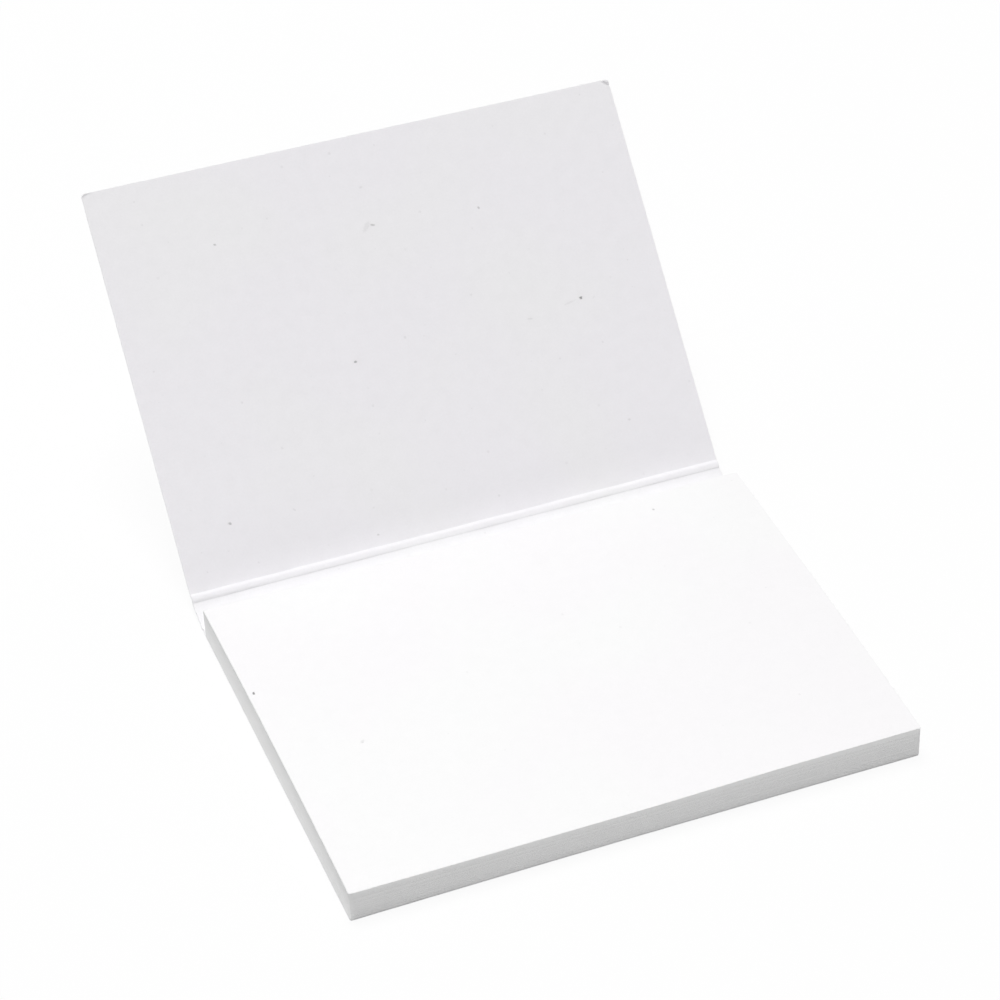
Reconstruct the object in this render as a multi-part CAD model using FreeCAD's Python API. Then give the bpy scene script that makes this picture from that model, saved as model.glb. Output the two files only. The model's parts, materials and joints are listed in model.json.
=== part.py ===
import FreeCAD, Part
import math
import os

# A pad of sticky notes in a creased card cover, lying on its back cover with the front cover
# thrown open behind it. X runs along the spine, Y from the free edge of the leaves to the
# spine, Z up. The origin is the middle of the back cover's underside. Sizes in millimetres.

# Leaves
pad_width = 100.0
pad_depth = 72.0
leaf_count = 50
leaf_thickness = 0.113
leaf_corner = 0.3        # the upright edges of the stack are worn this round
corner_lift = 0.2        # free corners above the middle of the free edge

# Card
card_thickness = 0.35
card_corner = 0.6        # free corners of both covers
front_overhang = 1.5     # the front cover's reach past the depth of the leaves

# Creases, each a bead pressed up out of the card
bead_radius = 0.75
bead_clearance = 0.25    # back face of the leaves to the lower bead
crease_gap = 0.2         # between a bead and the panel that swings round it

# Spine strip, flat on the table first and then bent up in line with the front cover
spine_ease = 1.4         # its length beyond the thickness that it wraps
bend_radius = 3.0
upper_run = 1.7          # straight run from the bend to the upper crease
cover_angle = 44.0       # front cover above the table

stack_height = leaf_count * leaf_thickness
spine_length = card_thickness + stack_height + spine_ease
front_reach = pad_depth + front_overhang
lean = math.radians(cover_angle)
flat_run = spine_length - bend_radius * lean - upper_run
along_spine = FreeCAD.Vector(pad_width, 0, 0)
origin = FreeCAD.Vector(0, 0, 0)
x_axis = FreeCAD.Vector(1, 0, 0)
z_axis = FreeCAD.Vector(0, 0, 1)
tolerance = 0.001


# A point of the cross-section at the left end of the spine
def at(y, z):
    return FreeCAD.Vector(-pad_width / 2, y, z)


lower_crease = at(pad_depth / 2 + bead_clearance + bead_radius, 0)
bend_start = lower_crease + FreeCAD.Vector(0, flat_run, 0)
bend_centre = bend_start + FreeCAD.Vector(0, 0, bend_radius)


# A point on the underside of the bend, that far round it
def on_bend(angle):
    return bend_centre + FreeCAD.Vector(0, math.sin(angle), -math.cos(angle)) * bend_radius


uphill = FreeCAD.Vector(0, math.cos(lean), math.sin(lean))
upper_crease = on_bend(lean) + uphill * upper_run


def rod(crease, radius):
    return Part.makeCylinder(radius, pad_width, crease, along_spine)


# The half tube that a crease raises on the inside of the card
def bead(crease, tilt):
    inner_radius = bead_radius - card_thickness
    tops = [at(0, bead_radius), at(0, inner_radius)]
    rims = [at(bead_radius, 0), at(-bead_radius, 0), at(-inner_radius, 0), at(inner_radius, 0)]
    outline = Part.Wire([
        Part.Arc(rims[0], tops[0], rims[1]).toShape(),
        Part.LineSegment(rims[1], rims[2]).toShape(),
        Part.Arc(rims[2], tops[1], rims[3]).toShape(),
        Part.LineSegment(rims[3], rims[0]).toShape(),
    ])
    tube = Part.Face(outline).extrude(along_spine)
    tube.rotate(origin, x_axis, tilt)
    tube.translate(crease - at(0, 0))
    return tube


# The sheet with the bead of a crease raised on it and the groove left below
def pressed(sheet, crease, tilt):
    groove = rod(crease, bead_radius - card_thickness)
    return sheet.cut(groove).fuse(bead(crease, tilt)).removeSplitter()


# The sheet with its edge cut back to swing round the bead of a crease
def hollowed(sheet, crease):
    return sheet.cut(rod(crease, bead_radius + crease_gap))


# The upright edges of a solid that lie beyond y
def uprights(solid, y):
    picked = []
    for edge in solid.Edges:
        run = edge.Vertexes[-1].Point - edge.Vertexes[0].Point
        if math.hypot(run.x, run.y) < tolerance and edge.CenterOfMass.y > y:
            picked.append(edge)
    return picked


# A flat cover from its crease at the origin to its free edge, corners rounded
def panel(length):
    blank = Part.makeBox(pad_width, length, card_thickness, at(0, 0))
    return blank.makeFillet(card_corner, uprights(blank, length / 2))


# The outline of the stack's end at y, its top corners lifted above the middle
def stack_end(y, lift):
    top = card_thickness + stack_height
    left_foot = at(y, card_thickness)
    left_top = at(y, top + lift)
    right_foot = left_foot + along_spine
    right_top = left_top + along_spine
    middle_top = at(y, top) + along_spine / 2
    top_edge = Part.LineSegment(left_top, right_top)
    if lift:
        top_edge = Part.Arc(left_top, middle_top, right_top)
    return Part.Wire([
        Part.LineSegment(left_foot, left_top).toShape(),
        top_edge.toShape(),
        Part.LineSegment(right_top, right_foot).toShape(),
        Part.LineSegment(right_foot, left_foot).toShape(),
    ])


# The leaves, stuck together along the spine and free to lift at their other edge
def note_block():
    stuck_end = stack_end(pad_depth / 2, 0)
    free_end = stack_end(-pad_depth / 2, corner_lift)
    block = Part.makeLoft([stuck_end, free_end], True, True)
    return block.makeFillet(leaf_corner, uprights(block, -pad_depth))


def back_cover():
    cover = panel(lower_crease.y + pad_depth / 2)
    cover.rotate(origin, z_axis, 180)
    cover.translate(FreeCAD.Vector(0, lower_crease.y, 0))
    return pressed(cover, lower_crease, 0)


def spine_strip():
    underside = Part.Wire([
        Part.LineSegment(lower_crease, bend_start).toShape(),
        Part.Arc(bend_start, on_bend(lean / 2), on_bend(lean)).toShape(),
        Part.LineSegment(on_bend(lean), upper_crease).toShape(),
    ])
    section = underside.makeOffset2D(-card_thickness, 0, True, True, False)
    strip = hollowed(section.extrude(along_spine), lower_crease)
    return pressed(strip, upper_crease, cover_angle)


def front_cover():
    cover = panel(front_reach)
    cover.rotate(origin, x_axis, cover_angle)
    cover.translate(FreeCAD.Vector(0, upper_crease.y, upper_crease.z))
    return hollowed(cover, upper_crease)


os.makedirs("parts", exist_ok=True)
for piece in (note_block, back_cover, spine_strip, front_cover):
    piece().exportStep(f"parts/{piece.__name__}.step")
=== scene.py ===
import json
import math
import bpy
from mathutils import Euler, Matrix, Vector


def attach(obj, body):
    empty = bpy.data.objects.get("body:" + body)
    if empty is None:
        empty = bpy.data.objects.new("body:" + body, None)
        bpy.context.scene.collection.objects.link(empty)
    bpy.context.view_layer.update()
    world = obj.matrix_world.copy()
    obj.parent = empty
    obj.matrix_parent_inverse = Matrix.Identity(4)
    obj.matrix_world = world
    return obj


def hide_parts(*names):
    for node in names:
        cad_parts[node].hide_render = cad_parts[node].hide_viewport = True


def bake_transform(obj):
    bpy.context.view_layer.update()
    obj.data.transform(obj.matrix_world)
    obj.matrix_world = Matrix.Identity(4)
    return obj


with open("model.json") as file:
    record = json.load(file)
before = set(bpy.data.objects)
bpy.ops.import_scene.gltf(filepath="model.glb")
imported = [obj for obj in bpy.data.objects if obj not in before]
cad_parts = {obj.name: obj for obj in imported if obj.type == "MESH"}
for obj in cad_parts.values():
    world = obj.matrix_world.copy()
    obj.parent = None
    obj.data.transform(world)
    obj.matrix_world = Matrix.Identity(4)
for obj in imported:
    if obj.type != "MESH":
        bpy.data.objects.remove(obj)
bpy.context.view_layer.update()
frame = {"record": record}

# Lengths in the dictionaries are in millimetres unless a note says otherwise; meshes are in metres.
mm = 0.001

# Where the card's two creases are: the hinge axes lie in the plane of the card's underside.
hinges = frame["record"]["behaviour"]["joints"]
hingePlaces = {hinge["name"]: Vector(hinge["pos_m"]) / mm for hinge in hinges}
lowerCrease = hingePlaces["lower_crease"]
upperCrease = hingePlaces["upper_crease"]


def smoothStep(low, high, value):
    share = min(1.0, max(0.0, (value - low) / (high - low)))
    return share * share * (3 - 2 * share)


def spread(low, high, step):
    count = max(1, round((high - low) / step))
    return [low + (high - low) * index / count for index in range(count + 1)]


def newTree(name, kind, inputs, outputs):
    tree = bpy.data.node_groups.new(name, kind)
    for title, socket, value in inputs:
        made = tree.interface.new_socket(title, in_out="INPUT", socket_type=socket)
        if value is not None:
            made.default_value = value
    for title, socket in outputs:
        tree.interface.new_socket(title, in_out="OUTPUT", socket_type=socket)
    return tree, tree.nodes.new("NodeGroupInput"), tree.nodes.new("NodeGroupOutput")


# Puts values or links into a node's inputs, by name or, as i0, i1 and so on, by number
def feed(tree, node, **values):
    for key, value in values.items():
        number = key[1:]
        if key.startswith("i") and number.isdigit():
            socket = node.inputs[int(number)]
        else:
            socket = node.inputs[key.replace("_", " ")]
        if isinstance(value, bpy.types.NodeSocket):
            tree.links.new(value, socket)
        else:
            socket.default_value = value
    return node


def mathNode(tree, operation, first, second=None, third=None, clamp=False):
    node = tree.nodes.new("ShaderNodeMath")
    node.operation = operation
    node.use_clamp = clamp
    for number, value in enumerate((first, second, third)):
        if value is not None:
            feed(tree, node, **{f"i{number}": value})
    return node.outputs[0]


def vectorNode(tree, operation, first, second=None):
    node = tree.nodes.new("ShaderNodeVectorMath")
    node.operation = operation
    feed(tree, node, i0=first)
    if second is not None:
        feed(tree, node, i1=second)
    return node.outputs["Value"] if operation in ("LENGTH", "DOT_PRODUCT") else node.outputs["Vector"]


def scaled(tree, vector, amount):
    result = vectorNode(tree, "SCALE", vector)
    feed(tree, result.node, Scale=amount)
    return result


def turned(tree, vector, angle):
    node = tree.nodes.new("ShaderNodeVectorRotate")
    node.rotation_type = "Z_AXIS"
    return feed(tree, node, Vector=vector, Angle=angle).outputs[0]


def split(tree, vector):
    return feed(tree, tree.nodes.new("ShaderNodeSeparateXYZ"), Vector=vector).outputs


def join(tree, x=0.0, y=0.0, z=0.0):
    return feed(tree, tree.nodes.new("ShaderNodeCombineXYZ"), X=x, Y=y, Z=z).outputs[0]


def mapRange(tree, value, low, high, toLow, toHigh, smooth=True):
    node = tree.nodes.new("ShaderNodeMapRange")
    node.interpolation_type = "SMOOTHSTEP" if smooth else "LINEAR"
    feed(tree, node, Value=value, From_Min=low, From_Max=high, To_Min=toLow, To_Max=toHigh)
    return node.outputs["Result"]


def noise(tree, place, scale, detail=2.0, roughness=0.5):
    node = tree.nodes.new("ShaderNodeTexNoise")
    feed(tree, node, Vector=place, Scale=scale, Detail=detail, Roughness=roughness)
    return node.outputs[0]


def colourMix(tree, share, first, second):
    node = tree.nodes.new("ShaderNodeMix")
    node.data_type = "RGBA"
    feed(tree, node, i0=share, i6=first, i7=second)
    return node.outputs[2]


def attribute(tree, name):
    node = tree.nodes.new("ShaderNodeAttribute")
    node.attribute_name = name
    return node.outputs["Fac"]


def useGroup(tree, group, **values):
    node = tree.nodes.new("ShaderNodeGroup")
    node.node_tree = group
    return feed(tree, node, **values).outputs[0]


cameraSettings = {
    "place": (-164.54, -378.24, 380.29),
    "tilt": 50.652,       # degrees up from straight down
    "turn": -22.182,      # degrees round from +Y
    "roll": 0.117,        # degrees
    "lens": 120.13,
    "sensor": 36.0,
    "clip": (20.0, 20000.0),
}


def addCamera():
    data = bpy.data.cameras.new("padCamera")
    data.lens = cameraSettings["lens"]
    data.sensor_width = cameraSettings["sensor"]
    data.clip_start, data.clip_end = (reach * mm for reach in cameraSettings["clip"])
    camera = bpy.data.objects.new("padCamera", data)
    tilt, turn, roll = (math.radians(cameraSettings[key]) for key in ("tilt", "turn", "roll"))
    level = Euler((tilt, 0, turn), "XYZ").to_matrix()
    camera.rotation_euler = (level @ Euler((0, 0, roll)).to_matrix()).to_euler()
    camera.location = Vector(cameraSettings["place"]) * mm
    bpy.context.scene.collection.objects.link(camera)
    bpy.context.scene.camera = camera


addCamera()
print("camera placed")


# Slow clouds of tone, a faint drift towards a second colour, and the fine formation of the sheet
def makePaperBody():
    tree, start, end = newTree("paperBody", "ShaderNodeTree", [
        ("Place", "NodeSocketVector", None),
        ("Main Colour", "NodeSocketColor", (0.9, 0.9, 0.9, 1)),
        ("Drift Colour", "NodeSocketColor", (0.9, 0.88, 0.92, 1)),
        ("Drift Size", "NodeSocketFloat", 30.0),
        ("Drift Bias", "NodeSocketFloat", 0.0),
        ("Cloud Size", "NodeSocketFloat", 3.0),
        ("Cloud Depth", "NodeSocketFloat", 0.01),
        ("Grain Size", "NodeSocketFloat", 0.3),
        ("Grain Depth", "NodeSocketFloat", 0.01),
    ], [("Colour", "NodeSocketColor")])
    give = start.outputs
    driftFrom, driftTo = 0.35, 0.65      # where the slow noise starts and ends the drift
    noiseMiddle = 0.5

    def slowNoise(size, **settings):
        return noise(tree, give["Place"], mathNode(tree, "DIVIDE", 1.0, give[size]), **settings)

    drift = mathNode(tree, "ADD", slowNoise("Drift Size", detail=1.0), give["Drift Bias"])
    share = mapRange(tree, drift, driftFrom, driftTo, 0.0, 1.0)
    colour = colourMix(tree, share, give["Main Colour"], give["Drift Colour"])
    cloud = mathNode(tree, "SUBTRACT", slowNoise("Cloud Size", detail=3.0, roughness=0.6), noiseMiddle)
    grain = mathNode(tree, "SUBTRACT", slowNoise("Grain Size", detail=2.0, roughness=0.7), noiseMiddle)
    depth = mathNode(tree, "MULTIPLY", cloud, give["Cloud Depth"])
    depth = mathNode(tree, "MULTIPLY_ADD", grain, give["Grain Depth"], depth)
    level = mathNode(tree, "MULTIPLY_ADD", depth, 2.0, 1.0)
    tree.links.new(scaled(tree, colour, level), end.inputs["Colour"])
    return tree


# Matted fibres of the sheet's surface, as a height
def makeFibreRelief():
    tree, start, end = newTree("fibreRelief", "ShaderNodeTree", [
        ("Place", "NodeSocketVector", None),
        ("Fibre Length", "NodeSocketFloat", 1.2),
        ("Fibre Width", "NodeSocketFloat", 0.12),
        ("Fine Share", "NodeSocketFloat", 0.4),
    ], [("Height", "NodeSocketFloat")])
    give = start.outputs
    stray = 2.5                  # how far the fibres stray from straight
    turns = (0.5, 1.7, 2.8)      # the ways that they lie, in radians
    crestWidth = 0.09            # how much of the noise about its middle is a fibre
    fineness = 2.5               # how many grains there are to a fibre's width
    lengthwise = mathNode(tree, "DIVIDE", 1.0, give["Fibre Length"])
    crosswise = mathNode(tree, "DIVIDE", 1.0, give["Fibre Width"])
    swing = noise(tree, give["Place"], lengthwise, detail=1.0).node.outputs["Color"]
    bent = vectorNode(tree, "ADD", give["Place"], scaled(tree, swing, stray))
    stretch = join(tree, lengthwise, crosswise, crosswise)
    heights = []
    for turn in turns:
        lines = noise(tree, vectorNode(tree, "MULTIPLY", turned(tree, bent, turn), stretch), 1.0, detail=1.0)
        fromCrest = mathNode(tree, "ABSOLUTE", mathNode(tree, "SUBTRACT", lines, 0.5))
        heights.append(mapRange(tree, fromCrest, 0.0, crestWidth, 1.0, 0.0))
    top = mathNode(tree, "MAXIMUM", mathNode(tree, "MAXIMUM", heights[0], heights[1]), heights[2])
    fine = noise(tree, give["Place"], mathNode(tree, "DIVIDE", fineness, give["Fibre Width"]), detail=1.0)
    tree.links.new(mathNode(tree, "MULTIPLY_ADD", fine, give["Fine Share"], top), end.inputs["Height"])
    return tree


# One soft-edged speck or smear of dirt, as a mask
def makeSpeck():
    tree, start, end = newTree("speck", "ShaderNodeTree", [
        ("Place", "NodeSocketVector", None),
        ("Middle", "NodeSocketVector", (0.0, 0.0, 0.0)),
        ("Half Length", "NodeSocketFloat", 0.3),
        ("Half Width", "NodeSocketFloat", 0.3),
        ("Turn", "NodeSocketFloat", 0.0),
        ("Depth", "NodeSocketFloat", 0.2),
    ], [("Mask", "NodeSocketFloat")])
    give = start.outputs
    throughSheet = 1000.0        # a speck goes through the whole thickness
    raggedScale, raggedness = 3.5, 1.2
    solid, gone = 0.45, 1.15     # shares of its half size where it starts to fade and has faded
    fromMiddle = vectorNode(tree, "SUBTRACT", give["Place"], give["Middle"])
    size = join(tree, give["Half Length"], give["Half Width"], throughSheet)
    spun = turned(tree, fromMiddle, give["Turn"])
    away = vectorNode(tree, "LENGTH", vectorNode(tree, "DIVIDE", spun, size))
    ragged = mathNode(tree, "SUBTRACT", noise(tree, give["Place"], raggedScale), 0.5)
    away = mathNode(tree, "MULTIPLY_ADD", ragged, raggedness, away)
    mask = mapRange(tree, away, solid, gone, 1.0, 0.0)
    tree.links.new(mathNode(tree, "MULTIPLY", mask, give["Depth"]), end.inputs["Mask"])
    return tree


# Very small stray fibres and dust, scattered
def makeDust():
    tree, start, end = newTree("dust", "ShaderNodeTree", [
        ("Place", "NodeSocketVector", None),
        ("Spacing", "NodeSocketFloat", 5.0),
        ("Radius", "NodeSocketFloat", 0.12),
        ("Depth", "NodeSocketFloat", 0.05),
    ], [("Mask", "NodeSocketFloat")])
    give = start.outputs
    waveScale, waveDepth = 4.0, 0.25     # how the grains are pulled out of round
    rarity = 3.0                         # the higher, the fewer large grains
    smallest = 0.001
    solid, gone = 0.5, 1.1               # as a speck's
    wave = noise(tree, give["Place"], waveScale, detail=1.0).node.outputs["Color"]
    spot = vectorNode(tree, "ADD", give["Place"], scaled(tree, wave, waveDepth))
    cells = tree.nodes.new("ShaderNodeTexVoronoi")
    cells.voronoi_dimensions = "2D"
    feed(tree, cells, Vector=spot, Scale=mathNode(tree, "DIVIDE", 1.0, give["Spacing"]))
    chance = feed(tree, tree.nodes.new("ShaderNodeSeparateColor"), Color=cells.outputs["Color"]).outputs
    reach = mathNode(tree, "MULTIPLY", cells.outputs["Distance"], give["Spacing"])
    size = mathNode(tree, "MULTIPLY", mathNode(tree, "POWER", chance[0], rarity), give["Radius"])
    away = mathNode(tree, "DIVIDE", reach, mathNode(tree, "ADD", size, smallest))
    mask = mathNode(tree, "MULTIPLY", mapRange(tree, away, solid, gone, 1.0, 0.0), chance[1])
    tree.links.new(mathNode(tree, "MULTIPLY", mask, give["Depth"]), end.inputs["Mask"])
    return tree


paperBody = makePaperBody()
fibreRelief = makeFibreRelief()
speck = makeSpeck()
dust = makeDust()


def newMaterial(name):
    material = bpy.data.materials.new(name)
    material.use_nodes = True
    tree = material.node_tree
    return material, tree, tree.nodes["Principled BSDF"]


# Specks as one mask: (along X, the other way, half length, half width, turn in degrees, depth)
def gatherSpecks(tree, place, marks):
    total = None
    for across, onward, length, width, turn, depth in marks:
        mask = useGroup(tree, speck, Place=place, Middle=(across, onward, 0), Half_Length=length,
                        Half_Width=width, Turn=math.radians(turn), Depth=depth)
        total = mask if total is None else mathNode(tree, "MAXIMUM", total, mask)
    return total


# The fibres as bump, and the hollows between them a little rougher
def addRelief(tree, shader, paper, place):
    highest = 1.4                # relief height at which the paper is smoothest
    height = useGroup(tree, fibreRelief, Place=place, **paper["fibres"])
    bump = tree.nodes.new("ShaderNodeBump")
    feed(tree, bump, Strength=paper["bump"], Distance=paper["relief"] * mm, Height=height)
    smooth, rough = paper["roughness"]
    feed(tree, shader, Normal=bump.outputs[0], Specular_IOR_Level=paper["shine"],
         Roughness=mapRange(tree, height, 0.0, highest, rough, smooth))


leafPaper = {
    "colour": (0.925, 0.925, 0.925, 1),
    "drift": (0.925, 0.915, 0.925, 1),
    "clouds": {
        "Drift_Size": 28.0,
        "Cloud_Size": 2.2, "Cloud_Depth": 0.012,
        "Grain_Size": 0.35, "Grain_Depth": 0.02,
    },
    "paintedLightShift": 0.001,      # painted light over the plain colour, in the middle
    "toneSlope": (-0.00022, -0.0004, 0.0),         # and its change for each mm along X and Y
    "edgeColour": (0.915, 0.915, 0.915),           # cut leaves at the front
    "frontShadeDip": 0.045,       # painted shade: how much darker they are halfway up
    "leftShadeTop": (0.85, 0.85, 0.85, 1),          # painted shade on the cut leaves of the left side, at the top and the bottom
    "leftShadeBottom": (0.975, 0.975, 0.975, 1),
    "leftEdgeFade": (-49.7, -49.2),                # along X: where that side's painted shade ends
    "leafShades": (0.99, 1.0),                     # tone of the darkest and the lightest cut leaf
    "dirtColour": (0.16, 0.15, 0.15, 1),
    "dust": {"Spacing": 7.0, "Radius": 0.3, "Depth": 0.08},
    "fibres": {"Fibre_Length": 0.9, "Fibre_Width": 0.10, "Fine_Share": 0.5},
    "bump": 0.5,
    "relief": 0.006,
    "roughness": (0.82, 0.94),
    "shine": 0.25,
    "marks": [
        (-48.9, 13.0, 0.22, 0.36, 15, 0.85),
        (-36.2, -4.5, 0.55, 0.32, -35, 0.14),
        (-36.3, -4.7, 0.26, 0.20, 0, 0.22),
        (31.9, 31.9, 0.26, 0.26, 0, 0.34),
        (6.1, 12.1, 0.35, 0.30, 0, 0.06),
    ],
}


def leafMaterial():
    material, tree, shader = newMaterial("leafPaper")
    coords = tree.nodes.new("ShaderNodeTexCoord")
    place = scaled(tree, coords.outputs["Object"], 1 / mm)
    axes = split(tree, place)
    body = useGroup(tree, paperBody, Place=place, Main_Colour=leafPaper["colour"],
                    Drift_Colour=leafPaper["drift"], **leafPaper["clouds"])
    # Painted light: the leaves lighter towards the left and towards the front
    tone = vectorNode(tree, "DOT_PRODUCT", place, leafPaper["toneSlope"])
    surface = scaled(tree, body, mathNode(tree, "ADD", tone, 1 + leafPaper["paintedLightShift"]))

    # The cut leaves, with painted shade: the left side darkens upwards, the front is darkest halfway up
    top = leaves["base"] + leaves["count"] * leaves["pitch"]
    upward = mapRange(tree, axes["Z"], leaves["base"], top, 0.0, 1.0, smooth=False)
    leftEdge = colourMix(tree, upward, leafPaper["leftShadeBottom"], leafPaper["leftShadeTop"])
    fromMiddle = mathNode(tree, "MULTIPLY_ADD", upward, 2.0, -1.0)
    dip = mathNode(tree, "MULTIPLY_ADD", mathNode(tree, "MULTIPLY", fromMiddle, fromMiddle),
                   leafPaper["frontShadeDip"], 1 - leafPaper["frontShadeDip"])
    frontEdge = scaled(tree, leafPaper["edgeColour"], dip)
    atLeft = mapRange(tree, axes["X"], *leafPaper["leftEdgeFade"], 1.0, 0.0)
    shade = mapRange(tree, attribute(tree, "leafShade"), 0.0, 1.0, *leafPaper["leafShades"], smooth=False)
    edge = scaled(tree, colourMix(tree, atLeft, frontEdge, leftEdge), shade)
    colour = colourMix(tree, attribute(tree, "cutSide"), surface, edge)

    flat = vectorNode(tree, "MULTIPLY", place, (1.0, 1.0, 0.0))
    dirt = mathNode(tree, "MAXIMUM", gatherSpecks(tree, flat, leafPaper["marks"]),
                    useGroup(tree, dust, Place=flat, **leafPaper["dust"]))
    feed(tree, shader, Base_Color=colourMix(tree, dirt, colour, leafPaper["dirtColour"]))
    addRelief(tree, shader, leafPaper, place)
    return material


cardPaper = {
    "colour": (0.925, 0.917, 0.931, 1),
    "drift": (0.925, 0.910, 0.939, 1),
    "clouds": {
        "Drift_Size": 34.0, "Drift_Bias": 0.06,
        "Cloud_Size": 2.6, "Cloud_Depth": 0.022,
        "Grain_Size": 0.4, "Grain_Depth": 0.03,
    },
    "coverTone": (1.017, 0.991),                   # painted light: the cover's brightness at its crease and at its free edge
    "plainTint": (1.0, 1.0, 1.0, 1),
    "stripTint": (0.967, 0.975, 0.963, 1),         # the spine strip beside the front cover
    "stripFade": (-1.2, 1.4),                      # from the upper crease: where that tint ends
    # Painted shade: the card's cut edges darker, as if shadowed
    "edgeColour": (0.80, 0.80, 0.80, 1),
    "sideEdgeShadeShare": 0.25,   # how much of that painted shade the cuts at the sides have
    "dirtColour": (0.13, 0.12, 0.12, 1),
    "dust": {"Spacing": 4.5, "Radius": 0.35, "Depth": 0.10},
    "fibres": {"Fibre_Length": 1.4, "Fibre_Width": 0.14, "Fine_Share": 0.4},
    "bump": 0.5,
    "relief": 0.009,
    "roughness": (0.74, 0.9),
    "shine": 0.3,
    "markedFace": (0.8, 0.95),                     # share of the thickness where the marks set in
    # Marks on the inside of the front cover: across from the middle, and up from the crease
    "marks": [
        (-29.3, 59.6, 0.30, 0.22, 30, 0.35),
        (-0.6, 56.8, 0.52, 0.22, 15, 0.34),
        (-1.8, 56.7, 1.30, 0.50, -50, 0.08),
        (33.4, 35.35, 0.36, 0.30, -20, 0.75),
        (31.1, 35.0, 1.30, 0.22, -10, 0.07),
        (35.8, 34.9, 0.50, 0.16, -50, 0.06),
        (19.4, 55.6, 0.32, 0.22, 60, 0.32),
        (-10.4, 33.6, 0.32, 0.24, 0, 0.55),
        (-39.9, 11.2, 0.38, 0.28, 0, 0.42),
        (-14.8, 2.9, 0.28, 0.22, 0, 0.20),
        (36.0, 11.8, 0.30, 0.25, 0, 0.14),
        (23.1, 33.8, 0.60, 0.18, 10, 0.12),
        (-0.8, 63.9, 0.40, 0.30, 0, 0.10),
        (-28.2, 10.8, 0.40, 0.20, 40, 0.10),
        (13.6, 40.5, 0.30, 0.25, 0, 0.08),
    ],
}


def cardMaterial():
    material, tree, shader = newMaterial("coverCard")
    layer = tree.nodes.new("ShaderNodeUVMap")
    layer.uv_map = "sheet"
    flat = vectorNode(tree, "MULTIPLY", layer.outputs[0], (card["width"], card["uvLength"], 0.0))
    level = attribute(tree, "throughCard")
    depth = join(tree, z=mathNode(tree, "MULTIPLY", level, card["thickness"]))
    place = vectorNode(tree, "ADD", flat, depth)
    fromCrease = vectorNode(tree, "SUBTRACT", flat, (0.0, card["coverStart"], 0.0))
    upCover = split(tree, fromCrease)["Y"]
    body = useGroup(tree, paperBody, Place=place, Main_Colour=cardPaper["colour"],
                    Drift_Colour=cardPaper["drift"], **cardPaper["clouds"])
    onStrip = mapRange(tree, upCover, *cardPaper["stripFade"], 1.0, 0.0)
    tint = colourMix(tree, onStrip, cardPaper["plainTint"], cardPaper["stripTint"])
    # Painted light: the cover brighter at its crease than at its free edge
    tone = mapRange(tree, upCover, 0.0, card["coverReach"], *cardPaper["coverTone"], smooth=False)
    surface = scaled(tree, vectorNode(tree, "MULTIPLY", body, tint), tone)
    # The cut edges take their painted shade
    colour = colourMix(tree, attribute(tree, "cutEdge"), surface, cardPaper["edgeColour"])

    inside = mapRange(tree, level, *cardPaper["markedFace"], 0.0, 1.0)
    marks = mathNode(tree, "MULTIPLY", gatherSpecks(tree, fromCrease, cardPaper["marks"]), inside)
    dirt = mathNode(tree, "MAXIMUM", marks, useGroup(tree, dust, Place=place, **cardPaper["dust"]))
    feed(tree, shader, Base_Color=colourMix(tree, dirt, colour, cardPaper["dirtColour"]))
    addRelief(tree, shader, cardPaper, place)
    return material


card = {
    "width": 100.0,
    "thickness": 0.35,
    "corners": (0.3, 0.6),   # free corners of the back and the front cover, seen from above
    "padDepth": 72.0,
    "coverReach": 73.5,      # from the upper crease to the free edge
    "coverTrim": (0.17, 0.14),   # how much shorter it is cut at its left and right side
    "lean": 44.0,            # degrees, front cover above the table
    "beadRadius": 0.75,      # outside of the bead at the lower crease
    "footRadius": 0.3,       # where that bead runs out into the sheet, at mid thickness
    "frontInset": 0.10,      # back cover's front edge behind the leaves
    "frontArch": 0.22,       # rise of that edge off the table
    "archMiddle": -1.0,      # where across it is highest, and the half width of the rise
    "archSpan": 48.0,
    "rightDraw": 0.42,       # how far the back cover's front right corner is cut in
    "drawCurve": 3.0,        # and how suddenly that starts from the spine
    "seam": 1.5,             # from the lower crease's bead to where one mesh hands over to the other
    "uvLength": 170.0,       # length that one unit of the sheet's V covers
    "coverStart": 90.0,      # V length at the upper crease
    "steps": {"back": 1.5, "seam": 0.5, "strip": 0.4, "cover": 1.0, "across": 2.0},
    "closeSteps": 1.0,       # how far in from the back cover's front edge the steps are close
    "beadPieces": (6, 14, 7),    # straight pieces in the lower crease's three bends
}

# How the card's cut edges look close up
cutEdges = {
    "round": 0.06,           # softening of the edge, from the cut inwards
    "taper": 0.6,            # how much thinner the card gets over it
    "face": 0.024,           # how far from the cut its painted shade reaches
    "stray": 0.03,           # unevenness of the cut
    "strayReach": 2.0,       # how far in it dies out
    "sidePace": 0.8,         # waves for each mm of a side, and of a free edge
    "endPace": 0.7,
    "sideSeed": 37,
    "endSeed": 11,
}

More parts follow.
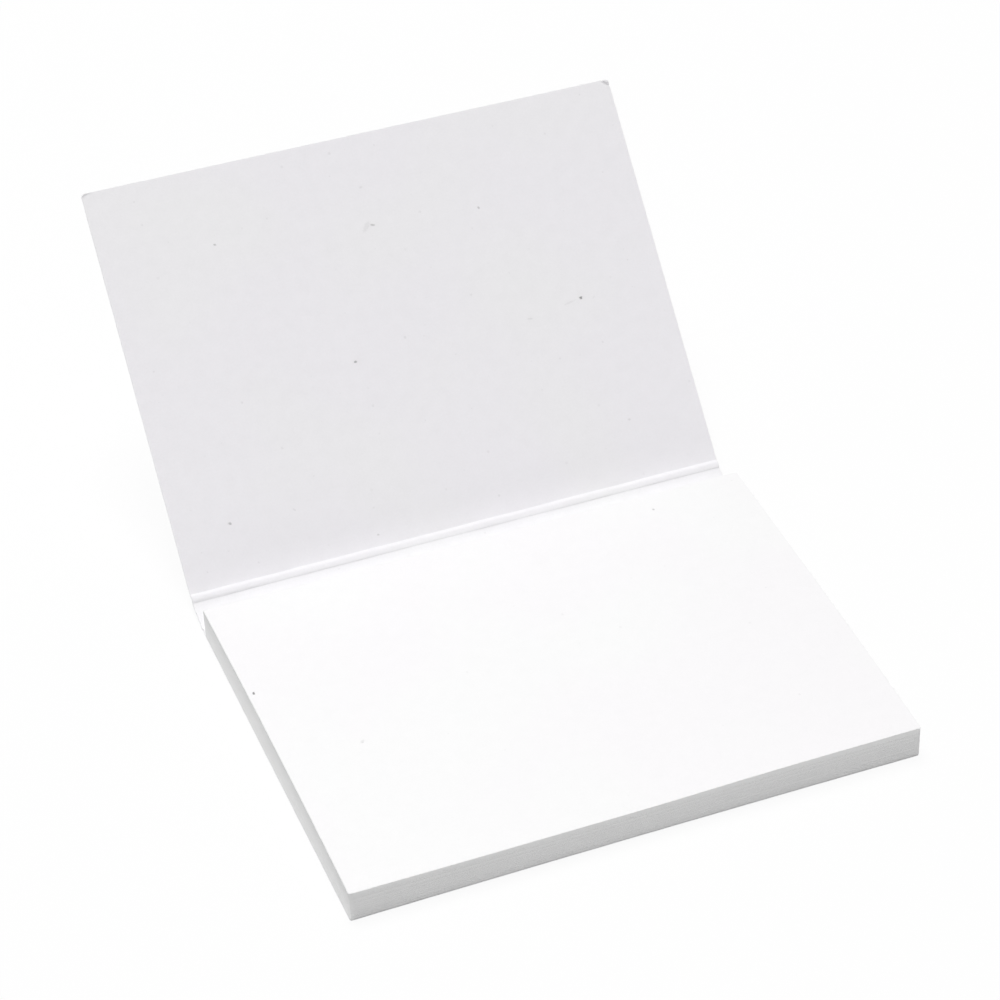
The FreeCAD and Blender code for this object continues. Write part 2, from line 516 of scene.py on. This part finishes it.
# The upper crease, from the spine strip up to the front cover, at mid thickness. The strip ends in
# a steep little wall, the ridge rounds over towards its top, and the cover rises from that.
ridge = {
    "reach": 0.95,           # from the hinge axis to where the cover is flat
    "stripBend": 5.0,        # radius of the strip's last part
    "stripSlope": 32.0,      # degrees, where the strip meets the wall
    "wallFoot": 0.25,
    "wallSlope": 74.0,
    "nose": 0.3,
    "flankSlope": 40.0,
    "flankRun": 0.31,
    "dome": 1.5,
    "topSlope": 9.0,
    "coverFoot": 0.5,
    "runStep": 0.12,         # length of a straight piece on the flank
    "piecesPerRadian": 9,    # and pieces in a bend, with at least so many
    "leastPieces": 4,
    "stripPieces": 5,
    "wobble": 0.07,          # unevenness of the ridge along its length
    "wobblePace": 0.3,       # its waves for each mm
    "wobbleSeed": 53,
    "wobbleFades": ((-0.9, -0.3), (1.3, 0.5)),     # from the crease: from none to full, on both sides
    "leftDrop": 0.10,        # how much deeper the wall is at the left end
    "leftDropFrom": -28.0,   # and where across it starts
    "leftDropFades": ((-0.35, -0.62), (-4.0, -1.2)),
}

# Bent corners of the front cover: where the fold meets the free edge and the side (from the corner),
# and its bends towards the leaves: start beyond the fold, length, degrees
bentTips = {
    1: {"alongTop": 1.9, "downSide": 1.2, "bends": [(0.0, 0.25, 60.0), (0.38, 0.35, -75.0)]},
    -1: {"alongTop": 2.7, "downSide": 0.9, "bends": [(0.0, 0.4, 30.0)]},
}
tipZone = 5.0                # how far from the free edge a tip can reach
tipStep = 0.02               # step in which its bends are traced


# The middle line of the card's thickness as stations: position, direction, and length from its start
class Profile:
    def __init__(self, start, heading):
        self.point = Vector(start)
        self.heading = heading
        self.length = 0.0
        self.stations = [(self.point.copy(), heading, 0.0)]

    def note(self):
        self.stations.append((self.point.copy(), self.heading, self.length))

    def run(self, marks):
        origin = self.point.copy()
        startLength = self.length
        for mark in marks:
            self.point = origin + along(self.heading) * mark
            self.length = startLength + mark
            self.note()

    def arc(self, radius, turn, pieces):
        side = 1 if turn > 0 else -1
        step = abs(turn) / pieces
        for _ in range(pieces):
            chord = 2 * radius * math.sin(step / 2)
            self.point = self.point + along(self.heading + side * step / 2) * chord
            self.heading += side * step
            self.length += radius * step
            self.note()


# Unit vectors of the cross-section, along a slope and square to it on the upper side
def along(slope):
    return Vector((math.cos(slope), math.sin(slope)))


def above(slope):
    return Vector((-math.sin(slope), math.cos(slope)))


# Sizes of the lower crease's bead at mid thickness
half = card["thickness"] / 2
lean = math.radians(card["lean"])
beadMid = card["beadRadius"] - half
footRadius = card["footRadius"]
beadReach = math.sqrt((beadMid + footRadius) ** 2 - (half + footRadius) ** 2)
beadSlope = math.atan2(beadReach, half + footRadius)


# The upper crease from the strip's end: bends as (radius, slope that it turns to), and a run as
# (None, length)
ridgeStart = math.radians(ridge["stripSlope"])
ridgeSteps = [
    (ridge["wallFoot"], math.radians(ridge["wallSlope"])),
    (ridge["nose"], math.radians(ridge["flankSlope"])),
    (None, ridge["flankRun"]),
    (ridge["dome"], math.radians(ridge["topSlope"])),
    (ridge["coverFoot"], lean),
]


def traceRidge(profile):
    for radius, amount in ridgeSteps:
        if radius is None:
            profile.run(spread(0.0, amount, ridge["runStep"])[1:])
        else:
            turn = amount - profile.heading
            pieces = max(ridge["leastPieces"], round(abs(turn) * ridge["piecesPerRadian"]))
            profile.arc(radius, turn, pieces)


# Where the spine strip runs, between the foot of the bead and the bend before the ridge:
# its start, its slope and its straight length
def fitStrip():
    trial = Profile((0.0, 0.0), ridgeStart)
    traceRidge(trial)
    coverFoot = Vector((upperCrease.y, upperCrease.z)) + along(lean) * ridge["reach"] + above(lean) * half
    bendCentre = coverFoot - trial.point + above(ridgeStart) * ridge["stripBend"]
    footCentre = Vector((lowerCrease.y + beadReach, half + footRadius))
    apart = bendCentre - footCentre
    fall = ridge["stripBend"] - footRadius
    length = math.sqrt(apart.length_squared - fall ** 2)
    slope = math.atan2(apart.y, apart.x) - math.atan2(fall, length)
    return footCentre - above(slope) * footRadius, slope, length


stripStart, stripSlope, stripLength = fitStrip()


def pressBead(profile, slopeAfter):
    foot, top, end = card["beadPieces"]
    profile.arc(footRadius, beadSlope, foot)
    profile.arc(beadMid, -2 * beadSlope, top)
    profile.arc(footRadius, beadSlope + slopeAfter, end)


# Distances from a free edge at which the mesh has a row or a column
cornerSteps = (2.6, 2.4, 2.2, 2.0, 1.85, 1.7, 1.55, 1.4, 1.25, 1.1, 0.95, 0.82, 0.7, 0.6, 0.5, 0.4, 0.3,
               0.22, 0.15, 0.1, 0.06, 0.03, 0.01, 0.0)


def backProfile():
    start = -card["padDepth"] / 2 + card["frontInset"]
    profile = Profile((start, half), 0.0)
    close = sorted(back for back in cornerSteps if 0 < back < card["closeSteps"])
    length = lowerCrease.y - beadReach - start
    profile.run(close)
    profile.run([mark - close[-1] for mark in spread(close[-1], length, card["steps"]["back"])[1:]])
    pressBead(profile, stripSlope)
    profile.run(spread(0.0, card["seam"], card["steps"]["seam"])[1:])
    return profile


def frontProfile():
    profile = Profile(stripStart + along(stripSlope) * card["seam"], stripSlope)
    profile.run(spread(0.0, stripLength - card["seam"], card["steps"]["strip"])[1:])
    profile.arc(ridge["stripBend"], ridgeStart - stripSlope, ridge["stripPieces"])
    traceRidge(profile)
    length = card["coverReach"] - ridge["reach"]
    step = card["steps"]["cover"]
    plain = [mark for mark in spread(0.0, length, step)[1:] if mark < length - cornerSteps[0] - step / 3]
    profile.run(plain + [length - back for back in cornerSteps])
    return profile


# Columns across the sheet, close together near both sides
def sheetColumns():
    near = [card["width"] / 2 - back for back in cornerSteps]
    middle = spread(-near[0], near[0], card["steps"]["across"])
    return [-place for place in reversed(near)] + middle[1:-1] + near


# A number between 0 and 1 that looks random and is always the same
def hash01(number):
    wave = math.sin(number * 12.9898 + 4.137) * 43758.5453
    return wave - math.floor(wave)


# Slow unevenness between -1 and 1 along a cut
def wander(length, seed):
    first = math.floor(length)
    share = smoothStep(0.0, 1.0, length - first)
    before, after = hash01(first + seed), hash01(first + 1 + seed)
    return (before * (1 - share) + after * share) * 2 - 1


# How far a cut strays inwards, at that distance from it
def strayIn(fromCut, length, seed):
    fade = smoothStep(cutEdges["strayReach"], 0.0, fromCut)
    return cutEdges["stray"] * fade * (0.5 + 0.5 * wander(length, seed))


# The share of the card's thickness that its softened edge leaves
def softShare(fromCut):
    return 1 - max(0.0, cutEdges["round"] - fromCut) / half * cutEdges["taper"]


# Half width of the sheet, less where a free corner is rounded
def widthAt(fromFree, corner):
    if fromFree >= corner:
        return card["width"] / 2
    return card["width"] / 2 - corner + math.sqrt(max(0.0, corner ** 2 - (corner - fromFree) ** 2))


# How far along and out a bent tip gets in that reach beyond its fold, and its slope there
def traceBends(bends, reach):
    pieces = max(1, math.ceil(reach / tipStep))
    stride = reach / pieces
    ahead = rise = 0.0
    for piece in range(pieces + 1):
        walked = min(reach, (piece + 0.5) * stride)
        slope = sum(math.radians(turn) * min(1.0, max(0.0, (walked - start) / length))
                    for start, length, turn in bends)
        if piece < pieces:
            ahead += math.cos(slope) * stride
            rise += math.sin(slope) * stride
    return ahead, rise, slope


# Bends one corner tip of the flat cover: across, down from the free edge, and height above the mid line
def bendTip(across, down, height):
    side = 1 if across > 0 else -1
    tip = bentTips[side]
    inward = card["width"] / 2 - abs(across)
    crossing = Vector((1 / tip["alongTop"], 1 / tip["downSide"]))
    beyond = (1 - inward * crossing.x - down * crossing.y) / crossing.length
    if beyond <= 0:
        return across, down, height
    ahead, rise, slope = traceBends(tip["bends"], beyond)
    moved = ahead - height * math.sin(slope) - beyond
    crossing.normalize()
    return across + side * moved * crossing.x, down - moved * crossing.y, rise + height * math.cos(slope)


# 1 between two fades, each from its outer to its inner end, and 0 beyond them
def between(fades, place):
    return smoothStep(*fades[0], place) * smoothStep(*fades[1], place)


# The back cover's middle is a little off the table at its free edge
def archAt(across, y):
    ahead = smoothStep(1.0, 0.0, (y + card["padDepth"] / 2) / card["padDepth"])
    return card["frontArch"] * ahead * max(0.0, 1 - ((across - card["archMiddle"]) / card["archSpan"]) ** 2)


# Both shapes take a point of the flat sheet and say where it goes. The point is across, down from the
# free edge and height above the mid line; point, heading and fromFree are its station's.
def shapeBack(across, down, height, point, heading, fromFree):
    middle = point.x + (down - fromFree) * math.cos(heading)
    place = Vector((middle, point.y)) + above(heading) * height
    ahead = min(1.0, max(0.0, 0.5 - place.x / card["padDepth"]))
    across -= card["rightDraw"] * max(0.0, 2 * across / card["width"]) * ahead ** card["drawCurve"]
    return across, place.x, place.y + archAt(across, place.x)


def shapeFront(across, down, height, point, heading, fromFree):
    if fromFree < tipZone:
        across, down, height = bendTip(across, down, height)
    rightShare = 0.5 + across / card["width"]
    leftTrim, rightTrim = card["coverTrim"]
    trim = (1 - rightShare) * leftTrim + rightShare * rightTrim
    shift = fromFree - down - trim * max(0.0, 1 - fromFree / card["coverReach"])
    place = point + along(heading) * shift + above(heading) * height
    fromCrease = card["coverReach"] - fromFree
    wobble = ridge["wobble"] * between(ridge["wobbleFades"], fromCrease)
    place += above(heading) * wobble * wander(across * ridge["wobblePace"], ridge["wobbleSeed"])
    atLeft = smoothStep(ridge["leftDropFrom"], -card["width"] / 2, across)
    return across, place.x, place.y - ridge["leftDrop"] * between(ridge["leftDropFades"], fromCrease) * atLeft


def finishPiece(name, mesh):
    sharpFrom = 32           # degrees between two faces
    mesh.validate()
    mesh.shade_smooth()
    mesh.set_sharp_from_angle(angle=math.radians(sharpFrom))
    piece = bpy.data.objects.new(name, mesh)
    bpy.context.scene.collection.objects.link(piece)
    return piece


# Faces from ring to ring of the sheet, and across it at the first and the last
def closeRings(rings, wide):
    faces = []
    for before, after in zip(rings, rings[1:]):
        for index in range(len(before)):
            following = (index + 1) % len(before)
            faces.append((before[index], before[following], after[following], after[index]))
    for ring, way in ((rings[0], -1), (rings[-1], 1)):
        for index in range(wide - 1):
            faces.append((ring[index], ring[index + 1], ring[-index - 2], ring[-index - 1])[::way])
    return faces


# One closed sheet of card swept along its profile; freeEnd is 1 where the profile ends at the free edge,
# and -1 where it starts there
def sweepCard(name, profile, freeEnd, corner, firstLength, shape):
    total = profile.stations[-1][2]
    columns = sheetColumns()
    halfWidth = card["width"] / 2
    verts, uvs, levels, edgeShadeShares, rings = [], [], [], [], []
    for point, heading, length in profile.stations:
        fromFree = total - length if freeEnd > 0 else length
        width = widthAt(fromFree, corner)
        ring = []
        for level in (1, -1):
            for column in columns[::level]:
                side = 1 if column > 0 else -1
                fromSide = halfWidth - abs(column)
                height = level * half * min(softShare(fromFree), softShare(fromSide))
                across = column * width / halfWidth
                across -= side * strayIn(fromSide, length * cutEdges["sidePace"], side * cutEdges["sideSeed"])
                down = fromFree + strayIn(fromFree, column * cutEdges["endPace"], cutEdges["endSeed"])
                ring.append(len(verts))
                verts.append(Vector(shape(across, down, height, point, heading, fromFree)) * mm)
                uvs.append((across / card["width"], (firstLength + length) / card["uvLength"]))
                levels.append(0.5 + 0.5 * height / half)
                # How much of the painted shade each point at a cut gets
                atEnd, atSide = fromFree < cutEdges["face"], fromSide < cutEdges["face"]
                edgeShadeShares.append(1.0 if atEnd else cardPaper["sideEdgeShadeShare"] if atSide else 0.0)
        rings.append(ring)
    mesh = bpy.data.meshes.new(name)
    mesh.from_pydata(verts, [], closeRings(rings, len(columns)))
    layer = mesh.uv_layers.new(name="sheet")
    for loop in mesh.loops:
        layer.data[loop.index].uv = uvs[loop.vertex_index]
    for title, values in (("throughCard", levels), ("cutEdge", edgeShadeShares)):
        mesh.attributes.new(title, "FLOAT", "POINT").data.foreach_set("value", values)
    return finishPiece(name, mesh)


frontLine, backLine = frontProfile(), backProfile()
seamLength = card["coverStart"] + card["coverReach"] - frontLine.length
backCorner, frontCorner = card["corners"]
frontCard = sweepCard("frontCard", frontLine, 1, frontCorner, seamLength, shapeFront)
backCard = sweepCard("backCard", backLine, -1, backCorner, seamLength - backLine.length, shapeBack)
cardFinish = cardMaterial()
for piece in (backCard, frontCard):
    piece.data.materials.append(cardFinish)
print("card made")


leaves = {
    "width": 100.0,
    "depth": 72.0,
    "count": 50,
    "thickness": 0.106,
    "pitch": 0.113,
    "base": 0.35,           # top of the back cover
    "stagger": 0.02,        # leaves out of line with each other
    "turn": 0.0002,         # and turned, in radians
    "cornerWear": 0.09,     # how far the two free corners are worn in
    "leftLift": 0.16,       # short curl of the left free corner, and where across it runs
    "curlSpan": (-25.0, -50.0),
    "rightLift": 0.37,      # broad lift of the right half of the free edge
    "liftSpan": (-4.0, 28.0),
    "lean": 0.17,           # top of the left side pushed outwards
    "hollow": 0.20,         # left side drawn in at its middle
    "rightDraw": (0.42, 0.64),  # how far the front right corner is cut in, at its foot and its top
    "meshPoints": (33, 23),     # across and along one leaf
    "seed": 7,
}


# The inputs of the stack's tree: name, kind of socket, value
def stackInputs():
    lengths = {
        "Leaf Width": leaves["width"] - 3 * leaves["stagger"],
        "Leaf Depth": leaves["depth"] - 2 * leaves["stagger"],
        "Leaf Thickness": leaves["thickness"],
        "Leaf Pitch": leaves["pitch"],
        "Base Height": leaves["base"],
        "Stagger": leaves["stagger"],
        "Corner Wear": leaves["cornerWear"],
        "Left Lift": leaves["leftLift"],
        "Curl Start": leaves["curlSpan"][0],
        "Curl End": leaves["curlSpan"][1],
        "Right Lift": leaves["rightLift"],
        "Lift Start": leaves["liftSpan"][0],
        "Lift End": leaves["liftSpan"][1],
        "Side Lean": leaves["lean"],
        "Side Hollow": leaves["hollow"],
        "Right Draw Foot": leaves["rightDraw"][0],
        "Right Draw Top": leaves["rightDraw"][1],
        "Front Arch": card["frontArch"],
        "Arch Middle": card["archMiddle"],
        "Arch Span": card["archSpan"],
    }
    return [(title, "NodeSocketFloat", length * mm) for title, length in lengths.items()] + [
        ("Draw Curve", "NodeSocketFloat", card["drawCurve"]),
        ("Leaf Turn", "NodeSocketFloat", leaves["turn"]),
        ("Leaf Count", "NodeSocketInt", leaves["count"]),
        ("Seed", "NodeSocketInt", leaves["seed"]),
    ]


# The stack: one leaf as a thin sheet, repeated upwards, each a little out of line, then lifted at its
# corners
def makeStackTree(inputs):
    material = ("Material", "NodeSocketMaterial", None)
    tree, start, end = newTree("leafStack", "GeometryNodeTree", inputs + [material],
                               [("Geometry", "NodeSocketGeometry")])
    give = start.outputs
    rim = 0.9999            # share of the half size that counts as the edge

    def times(first, second):
        return mathNode(tree, "MULTIPLY", first, second)

    def less(first, second, clamp=False):
        return mathNode(tree, "SUBTRACT", first, second, clamp=clamp)

    def over(first, second, clamp=False):
        return mathNode(tree, "DIVIDE", first, second, clamp=clamp)

    def position():
        return split(tree, tree.nodes.new("GeometryNodeInputPosition").outputs[0])

    def randomValue(kind, **values):
        node = tree.nodes.new("FunctionNodeRandomValue")
        node.data_type = kind
        return feed(tree, node, **values)

    def keep(geometry, domain, name, value):
        node = tree.nodes.new("GeometryNodeStoreNamedAttribute")
        node.data_type, node.domain = "FLOAT", domain
        return feed(tree, node, Geometry=geometry, Name=name, Value=value).outputs[0]

    # One leaf, its rows and columns drawn towards its edges, its two free corners a little worn
    halfWidth, halfDepth = times(give["Leaf Width"], 0.5), times(give["Leaf Depth"], 0.5)
    sheet = tree.nodes.new("GeometryNodeMeshCube")
    feed(tree, sheet, Size=join(tree, give["Leaf Width"], give["Leaf Depth"], give["Leaf Thickness"]),
         Vertices_X=leaves["meshPoints"][0], Vertices_Y=leaves["meshPoints"][1], Vertices_Z=2)
    here = position()
    drawnX = mathNode(tree, "SINE", times(over(here[0], halfWidth), math.pi / 2))
    drawnY = mathNode(tree, "SINE", times(over(here[1], halfDepth), math.pi / 2))
    atSide = mathNode(tree, "GREATER_THAN", mathNode(tree, "ABSOLUTE", drawnX), rim)
    atFront = mathNode(tree, "LESS_THAN", drawnY, -rim)
    atBack = mathNode(tree, "GREATER_THAN", drawnY, rim)
    onEdge = mathNode(tree, "MAXIMUM", mathNode(tree, "MAXIMUM", atSide, atFront), atBack)
    worn = times(times(atSide, atFront), give["Corner Wear"])
    shaped = tree.nodes.new("GeometryNodeSetPosition")
    place = join(tree, times(drawnX, less(halfWidth, worn)), times(drawnY, less(halfDepth, worn)), here[2])
    feed(tree, shaped, Geometry=keep(sheet.outputs["Mesh"], "POINT", "cutSide", onEdge), Position=place)

    # The places of the leaves, each a little out of line
    middle = mathNode(tree, "MULTIPLY_ADD", give["Leaf Pitch"], 0.5, give["Base Height"])
    line = tree.nodes.new("GeometryNodeMeshLine")
    feed(tree, line, Count=give["Leaf Count"], Start_Location=join(tree, z=middle),
         Offset=join(tree, z=give["Leaf Pitch"]))
    back = times(give["Stagger"], -1.0)
    jitter = randomValue("FLOAT_VECTOR", i0=join(tree, back, times(back, 0.5)),
                         i1=join(tree, give["Stagger"], times(give["Stagger"], 0.5)), Seed=give["Seed"])
    scattered = tree.nodes.new("GeometryNodeSetPosition")
    feed(tree, scattered, Geometry=line.outputs[0], Offset=jitter.outputs[0])
    turn = randomValue("FLOAT_VECTOR", i0=join(tree, z=times(give["Leaf Turn"], -1.0)),
                       i1=join(tree, z=give["Leaf Turn"]), Seed=mathNode(tree, "ADD", give["Seed"], 1))
    stack = tree.nodes.new("GeometryNodeInstanceOnPoints")
    feed(tree, stack, Points=scattered.outputs[0], Instance=shaped.outputs[0], Rotation=turn.outputs[0])
    shade = randomValue("FLOAT", i2=0.0, i3=1.0, Seed=mathNode(tree, "ADD", give["Seed"], 2))
    real = tree.nodes.new("GeometryNodeRealizeInstances")
    feed(tree, real, Geometry=keep(stack.outputs[0], "INSTANCE", "leafShade", shade.outputs[1]))

    # The free edge lifts, more for the upper leaves, and the lower ones follow the arched cover
    spot = position()
    height = times(give["Leaf Pitch"], give["Leaf Count"])
    share = over(less(spot[2], give["Base Height"]), height, clamp=True)
    frontShare = over(less(halfDepth, spot[1]), give["Leaf Depth"], clamp=True)
    curl = mapRange(tree, spot[0], give["Curl Start"], give["Curl End"], 0.0, 1.0, smooth=False)
    curl = times(times(curl, curl), give["Left Lift"])
    wave = mapRange(tree, spot[0], give["Lift Start"], give["Lift End"], 0.0, give["Right Lift"])
    lift = times(mathNode(tree, "ADD", curl, wave), times(share, frontShare))
    away = over(less(spot[0], give["Arch Middle"]), give["Arch Span"])
    crown = less(1.0, times(away, away), clamp=True)
    arch = times(crown, mapRange(tree, frontShare, 0.0, 1.0, 0.0, give["Front Arch"]))
    arch = times(arch, less(1.0, share))

    # The left side leans out and is hollow, and the front right corner is cut in
    alongSide = over(spot[1], halfDepth)
    belly = less(1.0, times(alongSide, alongSide), clamp=True)
    inward = less(times(belly, give["Side Hollow"]), give["Side Lean"])
    leftShare = over(spot[0], times(halfWidth, -1.0), clamp=True)
    rightShare = over(spot[0], halfWidth, clamp=True)
    skew = times(rightShare, mathNode(tree, "POWER", frontShare, give["Draw Curve"]))
    cutIn = mapRange(tree, share, 0.0, 1.0, give["Right Draw Foot"], give["Right Draw Top"], smooth=False)
    drawIn = less(times(inward, times(leftShare, share)), times(skew, cutIn))
    shift = join(tree, x=drawIn, z=mathNode(tree, "ADD", lift, arch))
    lifted = tree.nodes.new("GeometryNodeSetPosition")
    feed(tree, lifted, Geometry=real.outputs[0], Offset=shift)
    dress = tree.nodes.new("GeometryNodeSetMaterial")
    feed(tree, dress, Geometry=lifted.outputs[0], Material=give["Material"])
    tree.links.new(dress.outputs[0], end.inputs[0])
    return tree


def buildLeaves():
    inputs = stackInputs()
    tree = makeStackTree(inputs)
    given = {title: value for title, kind, value in inputs}
    given["Material"] = leafMaterial()
    holder = bpy.data.objects.new("leafStackMaker", bpy.data.meshes.new("leafStackMaker"))
    bpy.context.scene.collection.objects.link(holder)
    modifier = holder.modifiers.new("leafStack", "NODES")
    modifier.node_group = tree
    for item in tree.interface.items_tree:
        if item.item_type == "SOCKET" and item.in_out == "INPUT":
            modifier[item.identifier] = given[item.name]
    seen = holder.evaluated_get(bpy.context.evaluated_depsgraph_get())
    mesh = bpy.data.meshes.new_from_object(seen)
    bpy.data.objects.remove(holder)
    mesh.name = "leafStack"
    return finishPiece("leafStack", mesh)


leafStack = buildLeaves()
print("leaves made:", len(leafStack.data.polygons), "faces")


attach(leafStack, "pad")
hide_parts("note_block")

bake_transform(backCard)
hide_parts("back_cover")

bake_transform(frontCard)
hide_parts("spine_strip", "front_cover")


# Lengths in metres
studio = {
    "floorSize": 3.0,
    "floorDrop": 0.00002,      # how far below the card the floor is
    "floorColour": (0.90, 0.90, 0.90, 1),
    "floorRoughness": (0.85, 0.95),
    "floorMottle": 3.0,        # patches for each metre in which its roughness changes
    "floorWhiteShare": 0.92,   # how much of the seen floor is plain white
    "white": (1, 1, 1, 1),
    "ambient": 0.327,
    "lampAim": (0.0, 0.02, 0.01),
    "lamps": [
        # name, place, size, watts
        ("topLamp", (-0.15, 0.38, 1.90), 1.06, 27.6),
        ("frontLamp", (-0.25, -1.3, 0.9), 0.9, 1.05),
        ("leftLamp", (-1.3, 0.1, 0.5), 0.8, 0.5),
    ],
}


# Shows the camera plain white in that share, directly or in a reflection, instead of what is lit
def showWhite(tree, lit, whiteKind, share, output):
    white = tree.nodes.new(whiteKind)
    feed(tree, white, Color=studio["white"], Strength=1.0)
    path = tree.nodes.new("ShaderNodeLightPath")
    seen = mathNode(tree, "MAXIMUM", path.outputs["Is Camera Ray"], path.outputs["Is Glossy Ray"])
    seen = mathNode(tree, "MAXIMUM", seen, path.outputs["Is Transmission Ray"])
    blend = tree.nodes.new("ShaderNodeMixShader")
    feed(tree, blend, i0=mathNode(tree, "MULTIPLY", seen, share), i1=lit.outputs[0], i2=white.outputs[0])
    tree.links.new(blend.outputs[0], tree.nodes[output].inputs["Surface"])


def addFloor():
    size, low = studio["floorSize"] / 2, -studio["floorDrop"]
    mesh = bpy.data.meshes.new("paleFloor")
    corners = [(-size, -size, low), (size, -size, low), (size, size, low), (-size, size, low)]
    mesh.from_pydata(corners, [], [(0, 1, 2, 3)])
    floor = bpy.data.objects.new("paleFloor", mesh)
    bpy.context.scene.collection.objects.link(floor)
    material, tree, shader = newMaterial("paleFloor")
    coords = tree.nodes.new("ShaderNodeTexCoord")
    mottle = noise(tree, coords.outputs["Object"], studio["floorMottle"])
    feed(tree, shader, Base_Color=studio["floorColour"], Specular_IOR_Level=0.0,
         Roughness=mapRange(tree, mottle, 0.0, 1.0, *studio["floorRoughness"]))
    showWhite(tree, shader, "ShaderNodeEmission", studio["floorWhiteShare"], "Material Output")
    mesh.materials.append(material)


def addWorld():
    world = bpy.data.worlds.new("paleRoom")
    bpy.context.scene.world = world
    world.use_nodes = True
    tree = world.node_tree
    ambient = tree.nodes["Background"]
    feed(tree, ambient, Color=studio["white"], Strength=studio["ambient"])
    showWhite(tree, ambient, "ShaderNodeBackground", 1.0, "World Output")


def addLamps():
    for name, place, size, watts in studio["lamps"]:
        data = bpy.data.lights.new(name, "AREA")
        data.shape = "DISK"
        data.size = size
        data.energy = watts
        lamp = bpy.data.objects.new(name, data)
        lamp.location = place
        lamp.rotation_euler = (Vector(studio["lampAim"]) - Vector(place)).to_track_quat("-Z", "Y").to_euler()
        bpy.context.scene.collection.objects.link(lamp)


addFloor()
addWorld()
addLamps()
bpy.context.scene.view_settings.view_transform = "Standard"
print("floor and light made")

bpy.context.view_layer.update()
